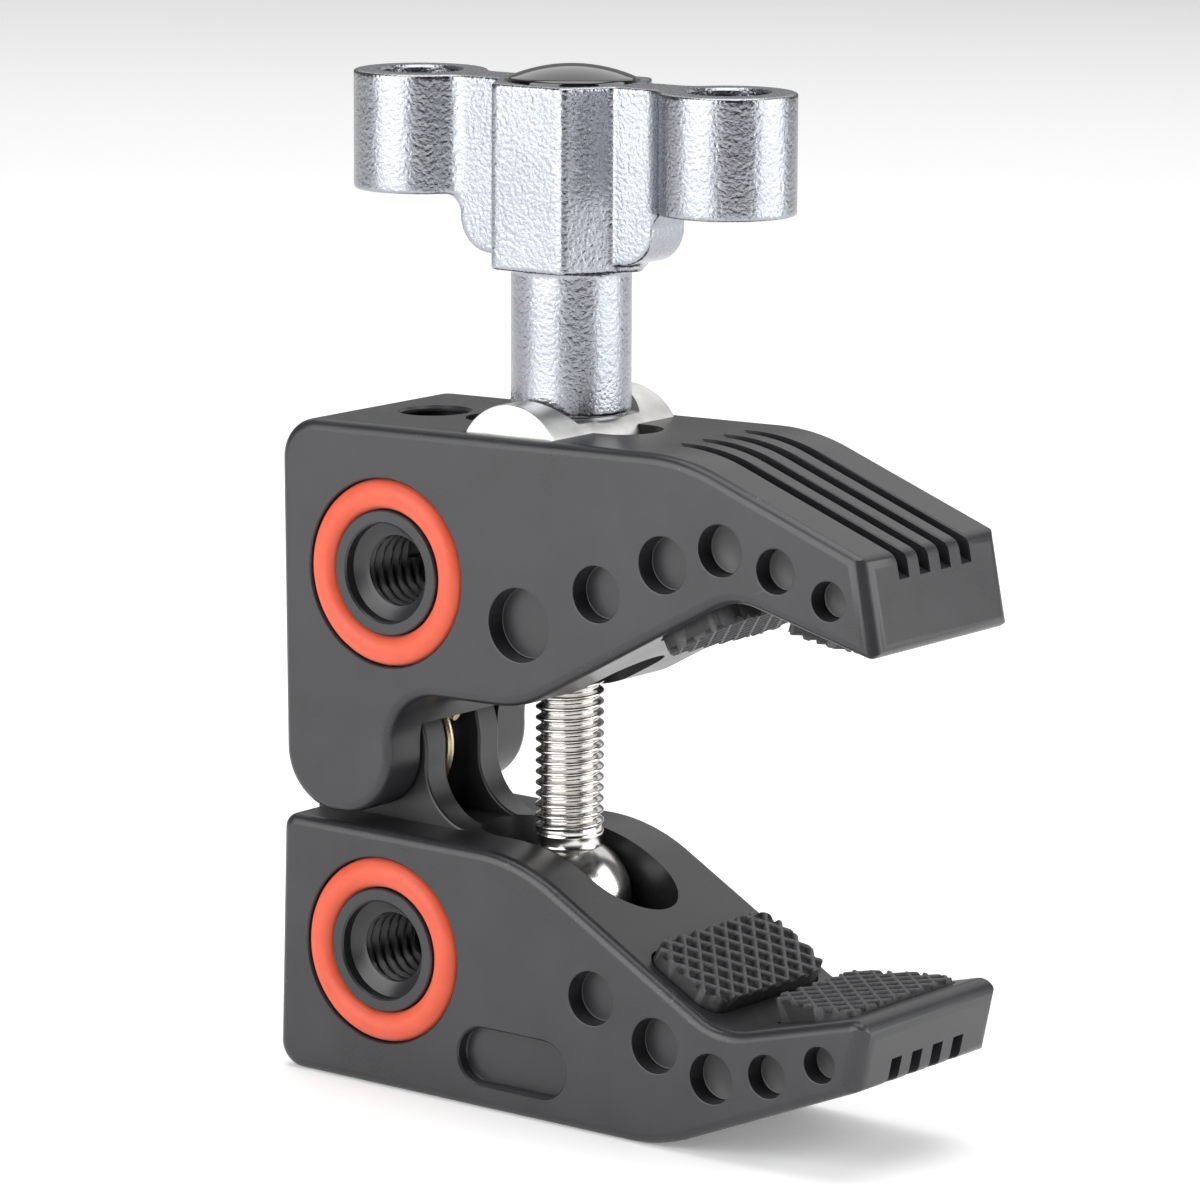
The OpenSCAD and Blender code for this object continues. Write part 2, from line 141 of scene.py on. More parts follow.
RING_IN, RING_OUT, RING_DEPTH, RING_PROUD = 7.15, 10.76, 2.9, 0.59
THREAD_MINOR, THREAD_MAJOR, THREAD_PITCH = 4.0, 4.76, 25.4 / 16
COUNTER_R, THREAD_START = 5.65, 2.4
GROOVE_W, GROOVE_PITCH, GROOVE_DEPTH = 2, 4.06, 2.3
PAD_L, PAD_W, PAD_OUT, PAD_IN = 10.6, 22, 2, 0.8
PAD_CORNER, REAR_ROOM, FRONT_ROOM = 2.6, 0.3, 0.25
REAR_PAD_AT, FRONT_PAD_AT = -8.1, 4.5
FRONT_PAD = dict(length=11.8, half_narrow=7.9, half_wide=10.2, flare=7, thick=3.0, thin=0.6)
COIL_R, WIRE_R = 7.4, 0.6

# ---------------------------------------------------------------- mesh building


def unit(x, z):
    size = math.hypot(x, z)
    return x / size, z / size


def rounded(corners, inset=0.0):
    """Points of an outline with rounded corners, moved inwards by inset. Their count stays the same."""
    count = len(corners)
    area = sum(corners[i - 1][0] * corners[i][1] - corners[i][0] * corners[i - 1][1] for i in range(count))
    points = []
    for i, (bx, bz, radius) in enumerate(corners):
        ax, az, _ = corners[i - 1]
        cx, cz, _ = corners[(i + 1) % count]
        u, v = unit(ax - bx, az - bz), unit(cx - bx, cz - bz)
        half = math.acos(max(-1, min(1, u[0] * v[0] + u[1] * v[1]))) / 2
        bisector = unit(u[0] + v[0], u[1] + v[1])
        convex = (u[0] * v[1] - u[1] * v[0]) * area < 0
        inward = 1 if convex else -1
        px = bx + inward * bisector[0] * inset / math.sin(half)
        pz = bz + inward * bisector[1] * inset / math.sin(half)
        r = max(radius - inward * inset, 0.03)
        mx, mz = px + bisector[0] * r / math.sin(half), pz + bisector[1] * r / math.sin(half)
        reach = r / math.tan(half)
        start = math.atan2(pz + u[1] * reach - mz, px + u[0] * reach - mx)
        turn = math.atan2(pz + v[1] * reach - mz, px + v[0] * reach - mx) - start
        turn = (turn + math.pi) % (2 * math.pi) - math.pi
        steps = max(3, math.ceil(abs(turn) / math.radians(7)), math.ceil(abs(turn) * radius / 0.7))
        angles = [start + turn * k / steps for k in range(steps + 1)]
        points += [(mx + r * math.cos(a), mz + r * math.sin(a)) for a in angles]
    return points


def new_object(name, bm, matrix=Matrix.Identity(4)):
    bmesh.ops.recalc_face_normals(bm, faces=bm.faces)
    mesh = bpy.data.meshes.new(name)
    bm.to_mesh(mesh)
    bm.free()
    mesh.transform(matrix)
    obj = bpy.data.objects.new(name, mesh)
    bpy.context.scene.collection.objects.link(obj)
    return obj


def loft(bm, rings, closed=False):
    """Joins rings of points with quads, then closes both ends or joins the last ring to the first."""
    made = [[bm.verts.new(point) for point in ring] for ring in rings]
    pairs = list(zip(made, made[1:])) + ([(made[-1], made[0])] if closed else [])
    for a, b in pairs:
        for i in range(len(a)):
            j = (i + 1) % len(a)
            bm.faces.new((a[i], a[j], b[j], b[i]))
    if not closed:
        bm.faces.new(made[0][::-1])
        bm.faces.new(made[-1])


def plate(bm, corners, y0, y1, edge):
    """An outline in x and z thickened along y, its two rims rounded by edge."""
    turns = [math.pi / 2 * k / EDGE_STEPS for k in range(EDGE_STEPS + 1)]
    near = [(edge * (1 - math.sin(t)), y0 + edge * (1 - math.cos(t))) for t in turns]
    far = [(inset, y0 + y1 - y) for inset, y in reversed(near)]
    loft(bm, [[(x, y, z) for x, z in rounded(corners, inset)] for inset, y in near + far])


def prism(bm, outline, y0, y1):
    loft(bm, [[(x, y, z) for x, z in outline] for y in (y0, y1)])


def lathe(bm, profile, steps=72, matrix=Matrix.Identity(4)):
    """Turns (radius, height) points round z. A profile from axis to axis makes a closed body."""
    rows = []
    for r, h in profile:
        if r < 1e-6:
            rows.append([bm.verts.new(matrix @ Vector((0, 0, h)))])
        else:
            rows.append([bm.verts.new(matrix @ Vector((r * math.cos(a), r * math.sin(a), h)))
                         for a in (2 * math.pi * k / steps for k in range(steps))])
    for a, b in zip(rows, rows[1:]):
        for k in range(steps):
            j = (k + 1) % steps
            ring = [a[k % len(a)], a[j % len(a)], b[j % len(b)], b[k % len(b)]]
            face = [v for n, v in enumerate(ring) if v not in ring[:n]]
            if len(face) > 2:
                bm.faces.new(face)


def tube_lathe(bm, profile, steps=72, matrix=Matrix.Identity(4)):
    """Turns a closed (radius, height) outline round z, for rings and washers."""
    rings = []
    for k in range(steps):
        a = 2 * math.pi * k / steps
        rings.append([matrix @ Vector((r * math.cos(a), r * math.sin(a), h)) for r, h in profile])
    loft(bm, rings, closed=True)


def facing(x, z, side):
    """Frame on a jaw's side face: z points out of the face on that side, -1 near or 1 far."""
    turn = math.radians(90 if side < 0 else -90)
    return Matrix.Translation((x, side * HALF_W, z)) @ Matrix.Rotation(turn, 4, "X")


def boolean(obj, tool, operation="DIFFERENCE"):
    """Cuts, joins or intersects obj with tool by the exact solver, and deletes tool."""
    modifier = obj.modifiers.new("tool", "BOOLEAN")
    modifier.operation = operation
    modifier.solver = "EXACT"
    modifier.object = tool
    bake(obj)
    bpy.data.objects.remove(tool)


def bake(obj):
    """Applies obj's modifiers to its mesh."""
    graph = bpy.context.evaluated_depsgraph_get()
    baked = bpy.data.meshes.new_from_object(obj.evaluated_get(graph))
    obj.modifiers.clear()
    obj.data = baked


def smooth(obj, angle=35):
    """Smooth shading that keeps sharp edges and leaves large flat faces flat."""
    mesh = obj.data
    bm = bmesh.new()
    bm.from_mesh(mesh)
    bmesh.ops.remove_doubles(bm, verts=bm.verts, dist=2e-7)
    for face in bm.faces:
        face.smooth = True
    for e in bm.edges:
        e.smooth = len(e.link_faces) == 2 and e.calc_face_angle(0) < math.radians(angle)
    bm.to_mesh(mesh)
    bm.free()
    modifier = obj.modifiers.new("normals", "WEIGHTED_NORMAL")
    modifier.keep_sharp = True
    modifier.weight = 100
    bake(obj)
    return obj


def finish_piece(obj, body, slot, material, *nodes):
    obj.data.materials.clear()
    obj.data.materials.append(material)
    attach(obj, body)
    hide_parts(*nodes)
    return obj


# ---------------------------------------------------------------- materials


def set_range(node, low, high, out_low, out_high):
    """Fills in a Map Range node."""
    numbers = {"From Min": low, "From Max": high, "To Min": out_low, "To Max": out_high}
    for socket, number in numbers.items():
        node.inputs[socket].default_value = number


class Shader:
    """A material with a Principled shader and short calls for its texture nodes."""

    def __init__(self, name, **values):
        self.material = bpy.data.materials.new(name)
        self.material.use_nodes = True
        self.nodes = self.material.node_tree.nodes
        self.links = self.material.node_tree.links
        self.bsdf = self.nodes["Principled BSDF"]
        for socket, value in values.items():
            self.bsdf.inputs[socket.replace("_", " ")].default_value = value
        self.place = self.nodes.new("ShaderNodeTexCoord").outputs["Object"]

    def stretched(self, x, y, z):
        node = self.nodes.new("ShaderNodeMapping")
        node.inputs["Scale"].default_value = (x, y, z)
        self.links.new(self.place, node.inputs["Vector"])
        return node.outputs["Vector"]

    def noise(self, size, detail=3, roughness=0.55, place=None):
        """Noise whose blotches are about size millimetres across."""
        node = self.nodes.new("ShaderNodeTexNoise")
        node.inputs["Scale"].default_value = 1000 / size
        node.inputs["Detail"].default_value = detail
        node.inputs["Roughness"].default_value = roughness
        self.links.new(place or self.place, node.inputs["Vector"])
        return node.outputs["Fac"]

    def cells(self, size):
        node = self.nodes.new("ShaderNodeTexVoronoi")
        node.feature = "SMOOTH_F1"
        node.inputs["Scale"].default_value = 1000 / size
        self.links.new(self.place, node.inputs["Vector"])
        return node.outputs["Distance"]

    def attribute(self, name):
        node = self.nodes.new("ShaderNodeAttribute")
        node.attribute_name = name
        return node.outputs["Fac"]

    def remap(self, value, low, high, out_low, out_high):
        node = self.nodes.new("ShaderNodeMapRange")
        set_range(node, low, high, out_low, out_high)
        self.links.new(value, node.inputs["Value"])
        return node.outputs["Result"]

    def maths(self, operation, a, b):
        node = self.nodes.new("ShaderNodeMath")
        node.operation = operation
        for socket, value in zip(node.inputs, (a, b)):
            if isinstance(value, (int, float)):
                socket.default_value = value
            else:
                self.links.new(value, socket)
        return node.outputs["Value"]

    def ramp(self, value, stops):
        node = self.nodes.new("ShaderNodeValToRGB")
        elements = node.color_ramp.elements
        while len(elements) < len(stops):
            elements.new(0.5)
        for element, (position, colour) in zip(elements, stops):
            element.position = position
            element.color = (*colour, 1)
        self.links.new(value, node.inputs["Fac"])
        return node.outputs["Color"]

    def mix(self, factor, a, b):
        node = self.nodes.new("ShaderNodeMix")
        node.data_type = "RGBA"
        self.links.new(factor, node.inputs["Factor"])
        for socket, value in ((node.inputs[6], a), (node.inputs[7], b)):
            if isinstance(value, tuple):
                socket.default_value = (*value, 1)
            else:
                self.links.new(value, socket)
        return node.outputs[2]

    def set(self, socket, value):
        self.links.new(value, self.bsdf.inputs[socket])

    def bump(self, height, depth, strength):
        """Bump whose full height is depth millimetres."""
        node = self.nodes.new("ShaderNodeBump")
        node.inputs["Strength"].default_value = strength
        node.inputs["Distance"].default_value = depth * SCALE
        self.links.new(height, node.inputs["Height"])
        self.links.new(node.outputs["Normal"], self.bsdf.inputs["Normal"])


def anodised():
    """Black satin anodising: fine blasted grain, cloudy gloss and a few pale specks on the edges."""
    s = Shader("anodised", Metallic=0.0, IOR=1.52)
    cloud = s.noise(9, 4)
    grain = s.noise(0.16, 2, 0.7)
    specks = s.maths("MULTIPLY", s.remap(s.noise(0.35, 2, 0.8), 0.62, 0.74, 0, 1),
                     s.remap(s.noise(6, 2), 0.5, 0.65, 0, 1))
    worn = s.maths("MULTIPLY", s.attribute("edge"), specks)
    base = s.ramp(cloud, [(0.3, (0.017, 0.017, 0.019)), (0.7, (0.025, 0.025, 0.028))])
    s.set("Base Color", s.mix(s.maths("MULTIPLY", worn, 0.5), base, (0.3, 0.3, 0.31)))
    gloss = s.remap(cloud, 0.3, 0.7, 0.29, 0.35)
    s.set("Roughness", s.maths("ADD", gloss, s.remap(grain, 0.3, 0.7, -0.04, 0.05)))
    s.bump(grain, 0.012, 0.5)
    return s.material


def cast_paint():
    """Silver-grey paint with the orange-peel grain of a cast knob."""
    s = Shader("cast_paint", Metallic=1.0)
    peel = s.cells(0.5)
    wave = s.noise(0.4, 2, 0.5)
    flake = s.noise(0.09, 1, 0.5)
    cloud = s.noise(7, 3)
    grey = s.ramp(cloud, [(0.3, (0.30, 0.315, 0.345)), (0.7, (0.35, 0.365, 0.395))])
    s.set("Base Color", s.mix(s.remap(flake, 0.6, 0.75, 0, 0.45), grey, (0.75, 0.77, 0.8)))
    s.set("Roughness", s.remap(wave, 0.3, 0.7, 0.2, 0.3))
    s.bump(s.maths("ADD", s.maths("MULTIPLY", peel, 0.5), wave), 0.075, 0.8)
    return s.material


def steel(name, tint, roughness, streaks, grain=0.12, depth=0.004):
    """Bare steel. streaks stretches the grain along x, y and z."""
    s = Shader(name, Metallic=1.0)
    line = s.noise(grain, 3, 0.6, s.stretched(*streaks))
    cloud = s.noise(2.5, 3)
    dark = tuple(c * 0.82 for c in tint)
    s.set("Base Color", s.mix(s.remap(cloud, 0.35, 0.7, 0, 1), dark, tint))
    s.set("Roughness", s.maths("ADD", s.remap(line, 0.3, 0.7, roughness - 0.05, roughness + 0.07),
                              s.remap(cloud, 0.3, 0.7, -0.02, 0.03)))
    s.bump(line, depth, 0.6)
    return s.material


def rubber():
    """Black rubber with paler ridges: dust, and a painted highlight on the ridge tops."""
    s = Shader("rubber", Metallic=0.0, IOR=1.5)
    dust = s.noise(0.5, 3, 0.7)
    # Ridge tops painted paler: partly dust, partly a painted highlight where the ridges catch the light.
    ridge = s.maths("MULTIPLY", s.attribute("ridge"), s.remap(dust, 0.35, 0.65, 0.25, 1))
    s.set("Base Color", s.mix(ridge, (0.014, 0.014, 0.015), (0.10, 0.10, 0.105)))
    s.set("Roughness", s.remap(dust, 0.3, 0.7, 0.5, 0.72))
    s.bump(s.noise(0.12, 2), 0.02, 0.6)
    return s.material


def silicone():
    """Orange-red silicone with a soft sheen and a little dust."""
    s = Shader("silicone", Metallic=0.0, IOR=1.43, Subsurface_Weight=0.12, Subsurface_Scale=0.0008,
               Sheen_Weight=0.15, Sheen_Roughness=0.5)
    s.bsdf.inputs["Subsurface Radius"].default_value = (1.0, 0.25, 0.1)
    cloud = s.noise(3, 3)
    dust = s.remap(s.noise(0.22, 2, 0.8), 0.68, 0.8, 0, 0.5)
    red = s.ramp(cloud, [(0.3, (0.60, 0.078, 0.034)), (0.7, (0.66, 0.094, 0.041))])
    s.set("Base Color", s.mix(dust, red, (0.85, 0.35, 0.25)))
    s.set("Roughness", s.remap(cloud, 0.3, 0.7, 0.38, 0.5))
    s.bump(s.noise(0.3, 2), 0.01, 0.5)
    return s.material


def glossy_cap():
    """Glossy black moulding with faint swirl marks."""
    s = Shader("glossy_cap", Metallic=0.0, IOR=1.5, Coat_Weight=0.6, Coat_Roughness=0.04)
    haze = s.noise(4, 3)
    s.set("Base Color", s.ramp(haze, [(0.3, (0.004, 0.004, 0.005)), (0.7, (0.008, 0.008, 0.009))]))
    s.set("Roughness", s.remap(haze, 0.3, 0.7, 0.07, 0.13))
    s.bump(s.noise(1.2, 3), 0.003, 0.4)
    return s.material


def low_friction():
    """Off-white washer plastic."""
    s = Shader("low_friction", Metallic=0.0, IOR=1.5)
    cloud = s.noise(1.5, 3)
    s.set("Base Color", s.ramp(cloud, [(0.3, (0.55, 0.54, 0.50)), (0.7, (0.66, 0.65, 0.61))]))
    s.set("Roughness", s.remap(cloud, 0.3, 0.7, 0.45, 0.6))
    s.bump(s.noise(0.2, 2), 0.01, 0.4)
    return s.material


MATERIALS = {
    "jaw": anodised(),
    "knob": cast_paint(),
    "thread": steel("bright_steel", (0.74, 0.72, 0.69), 0.17, (1, 1, 6)),
    "stainless": steel("blasted_stainless", (0.80, 0.79, 0.77), 0.42, (1, 1, 1), 0.14, 0.010),
    "steel": steel("turned_steel", (0.55, 0.56, 0.58), 0.3, (1, 4, 1)),
    "spring": steel("spring_wire", (0.62, 0.50, 0.34), 0.28, (1, 1, 1)),
    "pad": rubber(),
    "ring": silicone(),
    "cap": glossy_cap(),
    "washer": low_friction(),
}

# ---------------------------------------------------------------- jaws


def blind_hole(bm, at, radius, depth, side):
    """Flat-bottomed pocket cutter with a broken rim and a rounded floor corner."""
    profile = [(0, 1), (radius + 0.2, 1), (radius + 0.2, 0), (radius + 0.06, -0.06), (radius, -0.2),
               (radius, 0.2 - depth), (radius - 0.06, 0.06 - depth), (radius - 0.2, -depth), (0, -depth)]
    lathe(bm, profile, 56, facing(*at, side))


def ring_groove(bm, at, side):
    profile = [(RING_IN - 0.15, 1), (RING_IN - 0.15, 0), (RING_IN, -0.15), (RING_IN, -RING_DEPTH),
               (RING_OUT, -RING_DEPTH), (RING_OUT, -0.15), (RING_OUT + 0.15, 0), (RING_OUT + 0.15, 1)]
    tube_lathe(bm, profile, 96, facing(*at, side))


def bore_cutter(bm, at):
    """Through bore with a counterbore at each face; the threaded sleeve sits in its wide middle."""
    mouth = [(COUNTER_R + 0.2, 1), (COUNTER_R + 0.2, 0), (COUNTER_R, -0.2), (COUNTER_R, -1.45),
             (THREAD_MAJOR - 0.1, -2.1), (THREAD_MINOR + 0.06, -2.35), (THREAD_MAJOR + 0.1, -2.35)]
    half = [(r, h + HALF_W) for r, h in mouth]
    profile = [(0, HALF_W + 1)] + half + [(r, -h) for r, h in reversed(half)] + [(0, -HALF_W - 1)]
    lathe(bm, profile, 72, Matrix.Translation((at[0], 0, at[1])) @ ACROSS)


def groove_cutters(bm, matrix, length):
    """Four straight slots along x with broken rims; their floor lies on z = 0."""
    half, break_at = GROOVE_W / 2, GROOVE_DEPTH - 0.18
    section = [(-half, 0), (half, 0), (half, break_at), (half + 0.6, GROOVE_DEPTH + 0.42),
               (half + 0.6, 9), (-half - 0.6, 9), (-half - 0.6, GROOVE_DEPTH + 0.42), (-half, break_at)]
    for i in range(4):
        y0 = (i - 1.5) * GROOVE_PITCH
        loft(bm, [[matrix @ Vector((x, y0 + y, z)) for y, z in section] for x in (0, length)])


def slot_cutter(bm, x0, x1, half, z0, z1, floor_edge=0.4):
    """Slot with round ends along x, cut from z0 up to z1, with its floor's edge broken."""
    def ring(z, grow):
        h = half + grow
        turns = [(cx, math.radians(a + 7.5 * k)) for cx, a in ((x1 - half, -90), (x0 + half, 90))
                 for k in range(25)]
        return [Vector((cx + h * math.cos(t), h * math.sin(t), z)) for cx, t in turns]
    loft(bm, [ring(z0, -floor_edge), ring(z0 + floor_edge, 0), ring(z1, 0)])


def round_box(length, width, radius):
    """Corners of a centred rectangle, each with its rounding."""
    x, y = length / 2, width / 2
    return [(-x, -y, radius), (x, -y, radius), (x, y, radius), (-x, y, radius)]


def pad_outline(room=0.0):
    return rounded(round_box(PAD_L + 2 * room, PAD_W + 2 * room, PAD_CORNER + room))


def front_outline(room=0.0):
    p = FRONT_PAD
    n, w, x = p["half_narrow"] + room, p["half_wide"] + room, p["length"] + room
    flare = p["flare"]
    return rounded([(-room, -n, 1), (flare, -w, 4), (x, -w, 1), (x, w, 1), (flare, w, 4), (-room, n, 1)])


def pocket(bm, outline, matrix, top=12):
    """Cutter for a pad's flat pocket, standing on the pocket's floor."""
    loft(bm, [[matrix @ Vector((x, y, z)) for x, y in outline] for z in (-PAD_IN, top)])


def seat(apex, along, angle, mirrored):
    """Frame on a gripping slope: x towards the nose and z out of the slope."""
    place = Matrix.Translation((apex[0] + along * math.cos(angle), 0, apex[1] - along * math.sin(angle)))
    flip = Matrix.Scale(-1, 4, (0, 0, 1)) if mirrored else Matrix.Identity(4)
    return place @ Matrix.Rotation(angle, 4, "Y") @ flip


LOW_REAR_SEAT = seat(LOW_APEX, REAR_PAD_AT, LOW_GRIP, False)
LOW_FRONT_SEAT = seat(LOW_APEX, FRONT_PAD_AT, -LOW_FRONT, False)
UP_REAR_SEAT = seat(UP_APEX, REAR_PAD_AT, -UP_GRIP, True)
UP_FRONT_SEAT = seat(UP_APEX, FRONT_PAD_AT, UP_FRONT, True)


def cut(obj, matrix, *makers):
    """Cuts one closed tool after another out of obj. Each maker draws its tool into a fresh mesh."""
    for maker in makers:
        bm = bmesh.new()
        maker(bm)
        boolean(obj, new_object("tool", bm, matrix))


def mark_edges(obj):
    """Stores 1 for each point on a rounded side edge and 0 elsewhere, for the wear in the material."""
    attribute = obj.data.attributes.new("edge", "FLOAT", "POINT")
    low, high = (HALF_W - EDGE * 0.97) * SCALE, (HALF_W - EDGE * 0.03) * SCALE
    for i, vertex in enumerate(obj.data.vertices):
        attribute.data[i].value = 1.0 if low < abs(vertex.co.y) < high else 0.0


def panel_cutter(bm, side):
    """Long round-ended pocket in the lower jaw's side."""
    outline = round_box(PANEL_L, PANEL_H, PANEL_H / 2 - 0.01)
    levels = [(1, -0.2), (0, -0.2), (-0.2, 0), (0.15 - PANEL_DEPTH, 0), (-PANEL_DEPTH, 0.15)]
    place = facing(*PANEL_AT, side)
    loft(bm, [[place @ Vector((px, py, h)) for px, py in rounded(outline, inset)] for h, inset in levels])


def round_nose(obj, matrix, top, bottom):
    """Rounds the two upright edges of a nose in plan, along its slanting face."""
    slant = (top[0] - bottom[0]) / (top[1] - bottom[1])
    skin, length = 0.01, 120
    w = HALF_W + skin
    rings = []
    for z in (-20, 60):
        x = bottom[0] + (z - bottom[1]) * slant + skin
        plan = [(x - length, -w, 1), (x, -w, NOSE_EDGE), (x, w, NOSE_EDGE), (x - length, w, 1)]
        rings.append([(px, py, z) for px, py in rounded(plan)])
    bm = bmesh.new()
    loft(bm, rings)
    boolean(obj, new_object("tool", bm, matrix), "INTERSECT")


def make_lower_jaw():
    bm = bmesh.new()
    plate(bm, LOW_CORNERS, -HALF_W, HALF_W, EDGE)
    obj = new_object("lower_jaw_body", bm, LOWER)
    round_nose(obj, LOWER, *LOW_NOSE)
    root, front = LUG_FOOT - 2.9, LUG_R + 9
    lug = [(LUG_REAR, root, 0.1), (front, root, 0.1), (front, LUG_FOOT, 0.1), (LUG_R, LUG_FOOT, LUG_FLARE),
           (LUG_R, LUG_R, LUG_R - 0.05), (LUG_REAR, LUG_R, -LUG_REAR - 0.05)]
    for side in (-1, 1):
        bm = bmesh.new()
        y0, y1 = sorted((side * LUG_IN, side * LUG_OUT))
        plate(bm, lug, y0, y1, 0.35)
        boolean(obj, new_object("tool", bm, LUG), "UNION")

    def surface_tools(bm):
        for side in (-1, 1):
            for x, z, r in LOW_DIMPLES:
                blind_hole(bm, (x, z), r, DIMPLE_DEPTH, side)
            ring_groove(bm, LOW_BORE, side)
            panel_cutter(bm, side)
        under = Matrix.Translation((LOW_NOSE[1][0], 0, LOW_NOSE[1][1]))
        under = under @ Matrix.Rotation(math.pi - LOW_UNDER, 4, "Y")
        groove_cutters(bm, under @ Matrix.Translation((-4, 0, -GROOVE_DEPTH)), 40)
        pocket(bm, pad_outline(REAR_ROOM), LOW_REAR_SEAT)

    def ball_slot(bm):
        slot_cutter(bm, BALL[0] - POCKET_REAR, BALL[0] + SWING_SLOT_FRONT, SWING_SLOT_HALF,
                    BALL[1] - BALL_R - BALL_ROOM, LOW_TOP + 1)

    def swing_slot(bm):
        slot_cutter(bm, BALL[0] + SWING_SLOT_REAR, BALL[0] + SWING_SLOT_FRONT - 0.02,
                    SWING_SLOT_HALF - 0.02, LOW_TOP - SWING_SLOT_DEPTH, LOW_TOP + 1.2)

    def pin_hole(bm):
        lathe(bm, [(0, -9), (PIN_R + 0.04, -9), (PIN_R + 0.04, 9), (0, 9)], 48,
              Matrix.Translation((DESIGN_HINGE_X, 0, hinge.z / SCALE)) @ ACROSS)

    def front_pocket(bm):
        pocket(bm, front_outline(FRONT_ROOM), LOW_FRONT_SEAT)

    cut(obj, LOWER, surface_tools, front_pocket, ball_slot, swing_slot, pin_hole,
        lambda bm: bore_cutter(bm, LOW_BORE))
    smooth(obj)
    mark_edges(obj)
    return finish_piece(obj, "lower_jaw", "jaw", MATERIALS["jaw"], "lower_jaw")


def make_upper_jaw():
    bm = bmesh.new()
    plate(bm, UP_CORNERS, -HALF_W, HALF_W, EDGE)
    obj = new_object("upper_jaw_body", bm, UPPER)
    round_nose(obj, UPPER, *UP_NOSE)

    def surface_tools(bm):
        for side in (-1, 1):
            for x, z, r in UP_DIMPLES:
                blind_hole(bm, (x, z), r, DIMPLE_DEPTH, side)
            ring_groove(bm, UP_BORE, side)
        over = Matrix.Translation((UP_NOSE[0][0], 0, UP_NOSE[0][1])) @ Matrix.Rotation(UP_SLOPE, 4, "Y")
        groove_cutters(bm, over @ Matrix.Translation((-36, 0, -GROOVE_DEPTH)), 40)
        pocket(bm, pad_outline(REAR_ROOM), UP_REAR_SEAT)

    def hinge_gap(bm):
        outline = [(RELIEF_R * math.cos(math.radians(a)), RELIEF_R * math.sin(math.radians(a)))
                   for a in range(0, 181, 4)] + [(-RELIEF_R, -9), (-20, -9), (-20, -20), (20, -20), (20, 0)]
        prism(bm, outline, -EAR_IN, EAR_IN)

    def pin_hole(bm):
        lathe(bm, [(0, -14), (PIN_R + 0.01, -14), (PIN_R + 0.01, 11.4), (0, 11.4)], 48, ACROSS)

    def barrel_seat(bm):
        h = BARREL_LEN / 2 + 0.3
        lathe(bm, [(0, -h), (BARREL_R + BARREL_ROOM, -h), (BARREL_R + BARREL_ROOM, h), (0, h)], 96,
              Matrix.Translation((UP_BARREL[0], 0, UP_BARREL[1])) @ ACROSS)

    def rod_slot(bm):
        slot_cutter(bm, UP_BARREL[0] + ROD_SLOT_REAR, UP_BARREL[0] + ROD_SLOT_FRONT, ROD_SLOT_HALF,
                    0, UP_TOP + 2)

    def rod_slot_mouth(bm):
        slot_cutter(bm, UP_BARREL[0] + ROD_SLOT_MOUTH, UP_BARREL[0] + 3, ROD_SLOT_HALF - 0.02,
                    ROD_SLOT_STEP, UP_TOP + 2)

    def front_pocket(bm):
        pocket(bm, front_outline(FRONT_ROOM), UP_FRONT_SEAT)

    def top_hole(bm):
        profile = [(0, 1), (4.32, 1), (4.32, 0), (THREAD_MINOR, -0.32), (THREAD_MINOR, -0.6),
                   (THREAD_MAJOR + 0.1, -0.6), (THREAD_MAJOR + 0.1, -14), (0, -14)]
        lathe(bm, profile, 64, Matrix.Translation((TOP_BORE_X, 0, UP_TOP)))

    cut(obj, UPPER, surface_tools, front_pocket, hinge_gap, pin_hole, barrel_seat, rod_slot,
        rod_slot_mouth, lambda bm: bore_cutter(bm, UP_BORE), top_hole)
    smooth(obj)
    mark_edges(obj)
    return finish_piece(obj, "upper_jaw", "jaw", MATERIALS["jaw"], "upper_jaw")


# ---------------------------------------------------------------- threads


def thread_depth(phase):
    """Depth of a 60 degree thread at a share of its pitch: 0 on the flat crest and 1 on the flat root."""
    x = abs((phase % 1.0) - 0.5) * 2
    return min(1, max(0, (0.88 - x) / 0.72))


def threaded_sleeve(name, length, steps=64, per_pitch=12):
    """Closed sleeve round z whose bore carries the thread. z runs from 0 to length."""
    bm = bmesh.new()
    rows = math.ceil(length / THREAD_PITCH * per_pitch)
    outer = THREAD_MAJOR + 0.06
    rings = []
    for k in range(steps):
        a = 2 * math.pi * k / steps
        inner = []
        for i in range(rows + 1):
            h = length * i / rows
            r = THREAD_MINOR + (THREAD_MAJOR - THREAD_MINOR) * thread_depth(h / THREAD_PITCH - k / steps)
            inner.append((r * math.cos(a), r * math.sin(a), h))
        wall = [(outer * math.cos(a), outer * math.sin(a), h) for h in (length, 0)]
        rings.append(inner + wall)
    loft(bm, rings, closed=True)
    return new_object(name, bm)


def make_thread(name, matrix, length, body, vent=None):
    """Internal thread in a jaw, with an opening cut where another hole meets it."""
    obj = threaded_sleeve(name, length)
    obj.data.transform(matrix)
    if vent is not None:
        bm = bmesh.new()
        lathe(bm, [(0, 0), (THREAD_MINOR + 0.1, 0), (THREAD_MINOR + 0.1, 12), (0, 12)], 48)
        boolean(obj, new_object("tool", bm, vent))
    smooth(obj, 40)
    obj.data.attributes.new("edge", "FLOAT", "POINT")
    obj.data.materials.clear()
    obj.data.materials.append(MATERIALS["jaw"])
    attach(obj, body)
    return obj


def side_place(jaw, at):
    """Frame of a side thread: z runs from just inside the near face to just inside the far face."""
    return jaw @ Matrix.Translation((at[0], THREAD_START - HALF_W, at[1])) @ ALONG_Y


def make_jaw_threads():
    length = 2 * (HALF_W - THREAD_START)
    make_thread("lower_side_thread", side_place(LOWER, LOW_BORE), length, "lower_jaw")
    top = UPPER @ Matrix.Translation((TOP_BORE_X, 0, UP_BORE[1]))
    make_thread("upper_side_thread", side_place(UPPER, UP_BORE), length, "upper_jaw", vent=top)
    make_thread("top_thread", UPPER @ Matrix.Translation((TOP_BORE_X, 0, UP_TOP - 12.2)), 11.5, "upper_jaw")


# ---------------------------------------------------------------- rod, barrel and hinge parts


